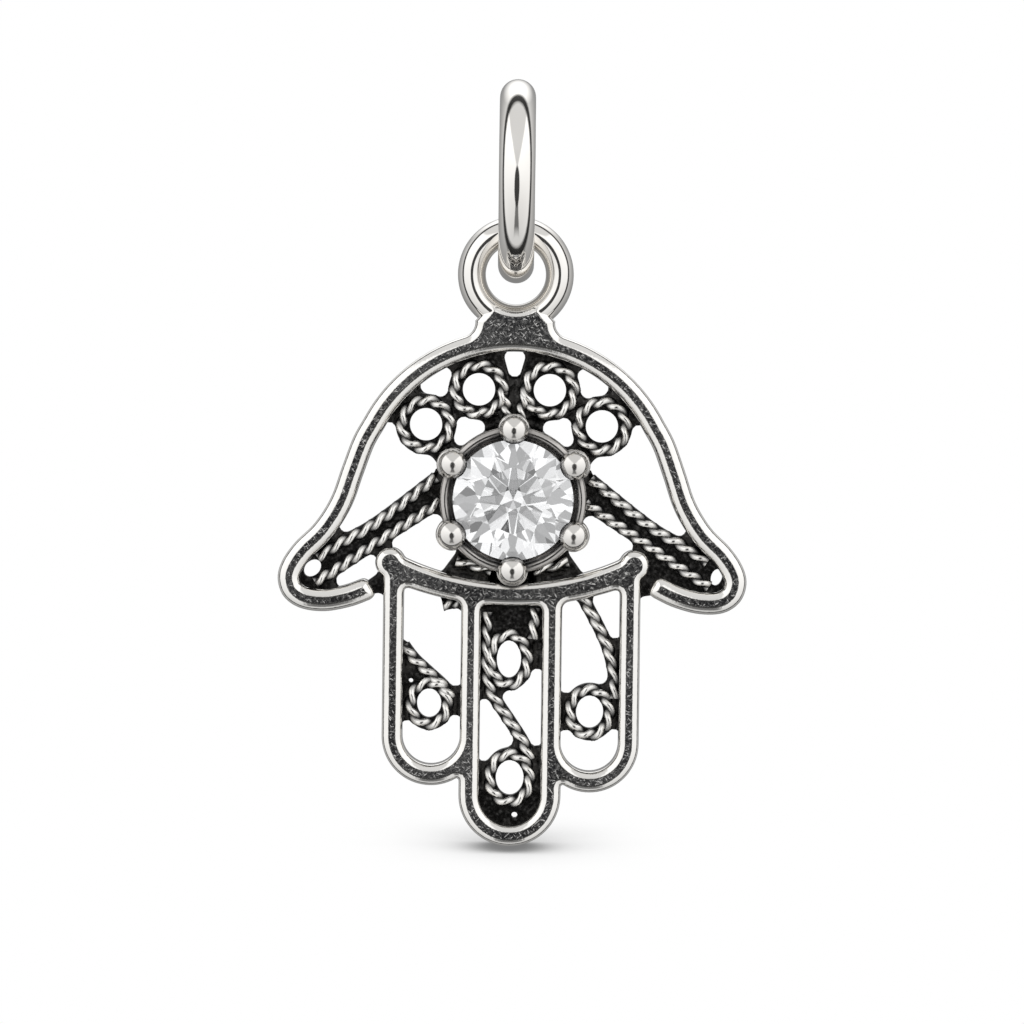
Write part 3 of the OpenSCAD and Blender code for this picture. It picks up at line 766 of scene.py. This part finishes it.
def palmShapes():
    shapes = [webShape(palmOutline(), inset=web["inBar"])]
    punches = [punch(crownMid, setting["wellR"])]
    for side in (-1, 1):
        for k in (0, 1):
            mid = palmRingMid(k)
            mid = (side * mid[0], mid[1])
            shapes.append(webShape(disc(mid, palmRings["r"] + bandHalf)))
            punches.append(punch(mid, palmRings["r"] - web["palmHoleIn"]))
        tail, seat, upper, lower = palmLines(1)
        ringFoot = palmRingMid(1)
        a = math.radians(web["footClaw"])
        claw = bySetting((math.cos(a), math.sin(a)))
        foot = (ringFoot[0] - web["footFrom"][0], ringFoot[1] - web["footFrom"][1])
        top = (palmRingMid(0)[0] - web["topFrom"], palmRingMid(0)[1])
        bridgeMid = (fingerSide + web["bridgeAt"][0], palmPlace(palm["flank"][-2])[1] + web["bridgeAt"][1])
        bridges = [ribbon([foot, claw], web["footHalf"]),
                   ribbon([top, bySetting((0, web["topTo"]))], web["topHalf"]),
                   ribbon(tail, bandHalf), ribbon(seat, bandHalf),
                   shifted(lower, -bandHalf) + shifted(upper, bandHalf)[::-1],
                   [(x, crownY - down) for x, down in web["crownFill"]],
                   disc(palmPlace(web["thumbMid"]), web["thumbR"]),
                   disc(bridgeMid, web["bridgeR"])]
        for line in bridges:
            turnedLine = [(side * x, y) for x, y in line]
            shapes.append(webShape(turnedLine if side > 0 else turnedLine[::-1]))
        share, wide, tall, turn = web["thumbHoles"][side]
        hole = palmPlace(share)
        punches.append(punch((side * hole[0], hole[1]), wide, tall, turn))
    shapes.append(webShape(ribbon([palmPlace(q) for q in web["rightFill"]], web["rightFillR"])))
    shapes.append(webShape(disc(crownMid, setting["baseOut"])))
    under = [bySetting(q) for q in seatWeb]
    shapes.append(webShape(under + [(-x, y) for x, y in under[::-1]]))
    return shapes, punches


def fingerShapes():
    shapes = [webShape(fingerOutline(), [windowLine(k) for k in range(3)], inset=web["inBar"])]
    shapes += [webShape(ribbon(line, bandHalf)) for line in fingerLines()]
    punches = [punch(inFinger(1, web["pinhole"]), web["pinholeR"])]
    for k, mid, wide, tall in fingerRings:
        shapes.append(webShape(disc(inFinger(k, mid), wide + bandHalf, tall + bandHalf)))
        inset = web["fingerHoleIn"]
        punches.append(punch(inFinger(k, mid), wide - inset, tall - inset))
    shapes.append(webShape(disc(inFinger(0, web["leftFill"]), web["leftFillR"])))
    punches.append(punch(inFinger(0, web["leftHole"]), web["leftHoleR"]))
    half = fingers["windowR"][1] + web["underBar"]
    top = crossLow(0) + web["underBar"]
    low = crossLow(0) - web["recess"]
    shapes.append(webShape([(-half, low), (half, low), (half, top), (-half, top)]))
    rise = tipMid(1)[1] + web["tipRise"]
    tip = arc(tipMid(1), half, 180, 360, 32)
    shapes.append(webShape([(-half, rise)] + tip + [(half, rise)]))
    return shapes, punches


def makeWeb():
    inPalm, palmPunches = palmShapes()
    inFingers, fingerPunches = fingerShapes()
    piece = runTogether(inPalm + inFingers, "pierced_web", palmPunches + fingerPunches)
    return finished(piece, "pierced_web", "hand", "hand", [blackened], smoothAngle=60)


makeWeb()
print("web is made")


# Setting: base ring, gallery wire and ball-topped claws
def stoneSeat():  # the room that the stone takes, cut out of the claws and the base ring
    room = {"pointR": 0.05, "girdleR": stoneR + 0.04, "depth": 1.75, "tableR": 1.15, "rise": 0.66,
            "lift": 1.18}
    bpy.ops.mesh.primitive_cone_add(vertices=96, radius1=room["pointR"], radius2=room["girdleR"],
                                    depth=room["depth"], location=(0, 0, room["lift"] - room["depth"] / 2))
    low = bpy.context.object
    bpy.ops.mesh.primitive_cone_add(vertices=96, radius1=room["girdleR"], radius2=room["tableR"],
                                    depth=room["rise"], location=(0, 0, room["lift"] + room["rise"] / 2))
    piece = weld(placeInMesh(joined([low, bpy.context.object], "seat")))
    editAll(piece)
    bpy.ops.mesh.select_all(action="DESELECT")
    bpy.ops.mesh.select_interior_faces()
    bpy.ops.mesh.delete(type="FACE")
    bpy.ops.object.mode_set(mode="OBJECT")
    return piece


def lathed(profile, sides, gap=0.001):  # turned about the depth axis; the profile gives radius and height
    line = drawn([profile], closed=False)
    line.rotation_euler = (math.radians(90), 0, 0)
    line.data.dimensions = "3D"
    pick(line)
    bpy.ops.object.convert(target="MESH")
    piece = placeInMesh(bpy.context.object)
    modify(piece, "SCREW", axis="Z", angle=math.radians(360), steps=sides, use_merge_vertices=True,
           merge_threshold=gap)
    return weld(piece, gap)


def makeClaw():  # a collared stem with a ball on it, notched by the stone
    stemTop = setting["ballLift"] - setting["stemDrop"]
    collarMid = (setting["stemR"] - setting["collar"], stemTop - setting["collar"])
    ballFrom = -math.degrees(math.acos(setting["neckR"] / setting["ballR"]))
    profile = ([(0, setting["baseLow"]), (setting["stemR"], setting["baseLow"])]
               + arc(collarMid, setting["collar"], 0, 90, 6)
               + arc((0, setting["ballLift"]), setting["ballR"], ballFrom, 0, 12)
               + arc((0, setting["ballLift"]), setting["ballR"], 0, 90, 16, setting["crownH"])[1:])
    claw = lathed(profile, 48)
    claw.location.x = setting["clawAt"]
    return cutWith(placeInMesh(claw), stoneSeat())


def makeSetting():
    claw = makeClaw()
    claws = []
    for k in range(setting["claws"]):
        one = copyOf(claw)
        one.rotation_euler.z = math.radians(90 + 360 * k / setting["claws"])
        one.location = (*crownMid, 0)
        claws.append(placeInMesh(one))
    bpy.data.objects.remove(claw)
    finished(joined(claws, "claws"), "claws", "hand", "hand", [clawSilver], smoothAngle=40)
    bpy.ops.mesh.primitive_torus_add(major_radius=setting["wireAt"], minor_radius=setting["wireR"],
                                     major_segments=120, minor_segments=20,
                                     location=(*crownMid, setting["wireLift"]))
    gallery = placeInMesh(bpy.context.object)
    finished(gallery, "gallery_wire", "hand", "hand", [galleryGrey])
    outer, inner = (disc((0, 0), setting[name], steps=96) for name in ("baseOut", "baseIn"))
    base = castPlate(outer, [inner[::-1]], setting["baseLow"], setting["baseHigh"], setting["baseRound"])
    cutWith(base, stoneSeat())
    base.location = (*crownMid, 0)
    placeInMesh(base)
    finished(base, "base_ring", "hand", "hand", [galleryGrey])


makeSetting()
print("setting is made")


# Stone: a round blank cut facet by facet
def makeStone():
    gem = {"lift": 1.2, "halfGirdle": 0.05, "crownH": 0.6, "girdleR": 2.0, "halvesAt": 0.9808, "starR": 1.035}
    lift = gem["lift"]
    halfGirdle = gem["halfGirdle"]
    tableH = halfGirdle + gem["crownH"]
    halfR = gem["halvesAt"] * gem["girdleR"]
    # Slope in degrees, radius that the facet passes through, first direction and count
    cut = {"mains": (34.3, gem["girdleR"], 0, 8), "halves": (40.8, halfR, 11.25, 16),
           "stars": (21.8, gem["starR"], 22.5, 8), "lowMains": (40.7, gem["girdleR"], 0, 8),
           "lowHalves": (41.9, halfR, 11.25, 16)}
    bpy.ops.mesh.primitive_cylinder_add(vertices=96, radius=stoneR, depth=4, location=(*crownMid, lift))
    piece = placeInMesh(bpy.context.object)

    def facet(angle, radius, azimuth, height, up):
        tilt = math.radians(angle)
        a = math.radians(azimuth)
        out = Vector((math.cos(a), math.sin(a), 0))
        normal = out * math.sin(tilt) + Vector((0, 0, up * math.cos(tilt)))
        place = Vector((*crownMid, lift + height)) + out * radius
        editAll(piece)
        bpy.ops.mesh.bisect(plane_co=place, plane_no=normal, use_fill=True, clear_outer=True, threshold=1e-5)
        bpy.ops.object.mode_set(mode="OBJECT")

    facet(0, 0, 0, tableH, 1)
    for name, height, up in (("mains", halfGirdle, 1), ("halves", halfGirdle, 1), ("stars", tableH, 1),
                             ("lowMains", -halfGirdle, -1), ("lowHalves", -halfGirdle, -1)):
        angle, radius, first, count = cut[name]
        for k in range(count):
            facet(angle, radius, first + 360 * k / count, height, up)
    weld(piece)
    return finished(piece, "cut_stone", "hand", "stone", [clear], smoothAngle=1)


makeStone()
print("stone is cut")


# Studio: a white tent with a dark gap towards the camera and a dark seam round the sides
def makeStudio():
    tent = {"front": 1.12, "frontFrom": -0.15, "backNear": 0.7, "backFar": 0.3,
            "heights": (-0.9, 0.6), "heightTones": (0.6, 1.1),
            "seamTilt": 0.15, "seam": (0.07, 0.22), "seamSoft": 0.12, "seamDark": 0.05,
            "panelFrom": 0.17, "panelSpread": 1.1, "panelSoft": 0.1, "panelTone": 0.66,
            "lensHalfW": 0.3, "lensHalfH": 0.42, "lensLift": -0.12, "lensSoft": 0.7,
            "lensDark": 0.06, "stripHalfW": 0.04, "stripSpread": 0.25, "stripSoft": 0.08,
            "stripTop": 0.1, "stripTopFade": (0.14, 0.0), "stripLowFade": (-0.92, -0.8), "stripDark": 0.25,
            "lampAt": (0, 0.67, 0.74), "lamp": (0.8, 0.96), "lampGain": 0.7,
            "stoneLift": 0.35, "patchScale": 3.6, "patchAt": (0.41, 0.47), "patchTone": (0.42, 1.3),
            "floorR": 0.08, "floorGap": 0.0001, "floorTilt": 13}
    world = bpy.data.worlds.new("whiteTent")
    scene.world = world
    world.use_nodes = True
    world.cycles.sampling_method = "NONE"
    where = step(world, "TexCoord").outputs["Generated"]
    rays = step(world, "LightPath")
    axes = step(world, "SeparateXYZ", Vector=where)
    x, y, z = (axes.outputs[k] for k in "XYZ")

    def times(a, b):
        return math2(world, "MULTIPLY", a, b)

    def mixed(factor, a, b):
        return math2(world, "ADD", times(math2(world, "SUBTRACT", 1.0, factor), a), times(factor, b))

    def inside(halfWidth, softness):  # within that distance of the middle
        room = math2(world, "SUBTRACT", halfWidth, math2(world, "ABSOLUTE", x, 0.0))
        return ranged(world, room, 0.0, softness)

    spread = tent["stripSpread"]
    halfW = math2(world, "ADD", times(z, -spread), tent["stripHalfW"] + spread * tent["stripTop"])
    inFront = ranged(world, y, 0.0, tent["frontFrom"])
    ends = times(ranged(world, z, *tent["stripTopFade"]), ranged(world, z, *tent["stripLowFade"]))
    strip = times(times(inside(halfW, tent["stripSoft"]), ends), inFront)  # a dark line, wider downwards
    across = times(x, 1 / tent["lensHalfW"])
    upwards = times(math2(world, "SUBTRACT", z, tent["lensLift"]), 1 / tent["lensHalfH"])
    squares = math2(world, "ADD", times(across, across), times(upwards, upwards))
    lens = times(ranged(world, squares, 1.0, tent["lensSoft"]), inFront)  # the dark oval round the camera
    # A grey panel stands in front, wider upwards
    panelW = times(math2(world, "SUBTRACT", z, tent["panelFrom"]), tent["panelSpread"])
    front = mixed(inside(panelW, tent["panelSoft"]), tent["front"], tent["panelTone"])
    front = mixed(strip, front, tent["stripDark"])
    front = mixed(lens, front, tent["lensDark"])
    depth = math2(world, "SUBTRACT", y, times(z, tent["seamTilt"]))
    seamLow, seamHigh = tent["seam"]
    behind = ranged(world, depth, seamHigh, 1.0, tent["backNear"], tent["backFar"])
    overLamp = step(world, "VectorMath", {"operation": "DOT_PRODUCT"})
    plug(world, where, overLamp.inputs[0])
    plug(world, tent["lampAt"], overLamp.inputs[1])
    lamp = ranged(world, overLamp.outputs["Value"], *tent["lamp"], 0.0, tent["lampGain"])
    tone = math2(world, "ADD", mixed(ranged(world, depth, seamLow, seamHigh), front, behind), lamp)
    seam = times(ranged(world, depth, seamLow - tent["seamSoft"], seamLow),
                 ranged(world, depth, seamHigh + tent["seamSoft"], seamHigh))
    tone = times(tone, ranged(world, seam, 0.0, 1.0, 1.0, tent["seamDark"]))
    tone = times(tone, ranged(world, z, *tent["heights"], *tent["heightTones"]))
    patches = noise(world, where, tent["patchScale"], detail=1)
    inStone = times(mixed(tent["stoneLift"], tone, 1.0),
                    ranged(world, patches, *tent["patchAt"], *tent["patchTone"]))
    tone = mixed(rays.outputs["Is Transmission Ray"], tone, inStone)
    tone = mixed(rays.outputs["Is Camera Ray"], tone, 1.0)
    background = world.node_tree.nodes["Background"]
    plug(world, tone, background.inputs["Strength"])
    plug(world, (1, 1, 1, 1), background.inputs["Color"])
    bpy.ops.mesh.primitive_circle_add(vertices=96, radius=tent["floorR"], fill_type="NGON",
                                      location=(0, 0, handLow.z / 1000 - tent["floorGap"]),
                                      rotation=(math.radians(tent["floorTilt"]), 0, 0))
    floor = bpy.context.object
    floor.name = "floor"
    floor.visible_glossy = False
    floor.visible_transmission = False
    # The floor's shadow is painted into its glow by its finish, not cast by a light
    floor.data.materials.append(whiteFloorPaintedShadow())


# The camera looks at the front from a little above, rolled as the photograph is
def makeCamera():
    photo = {"mid": (-0.031, -13.21), "width": 34.133, "distance": 200, "elevation": 1.5, "roll": -0.71}
    aim = Vector((photo["mid"][0], 0, photo["mid"][1])) / 1000
    up = math.radians(photo["elevation"])
    back = Vector((0, -math.cos(up), math.sin(up)))
    bpy.ops.object.camera_add(location=aim + back * photo["distance"] / 1000)
    camera = bpy.context.object
    camera.rotation_euler = (-back).to_track_quat("-Z", "Y").to_euler()
    camera.data.sensor_width = 36
    camera.data.lens = camera.data.sensor_width * photo["distance"] / photo["width"]
    camera.data.clip_start = 0.01
    camera.data.clip_end = 10
    pick(camera)
    bpy.ops.transform.rotate(value=math.radians(photo["roll"]), orient_axis="Z", orient_type="LOCAL",
                             center_override=camera.location)
    scene.camera = camera


makeStudio()
makeCamera()
scene.view_settings.view_transform = "Standard"
print("studio and camera are set")
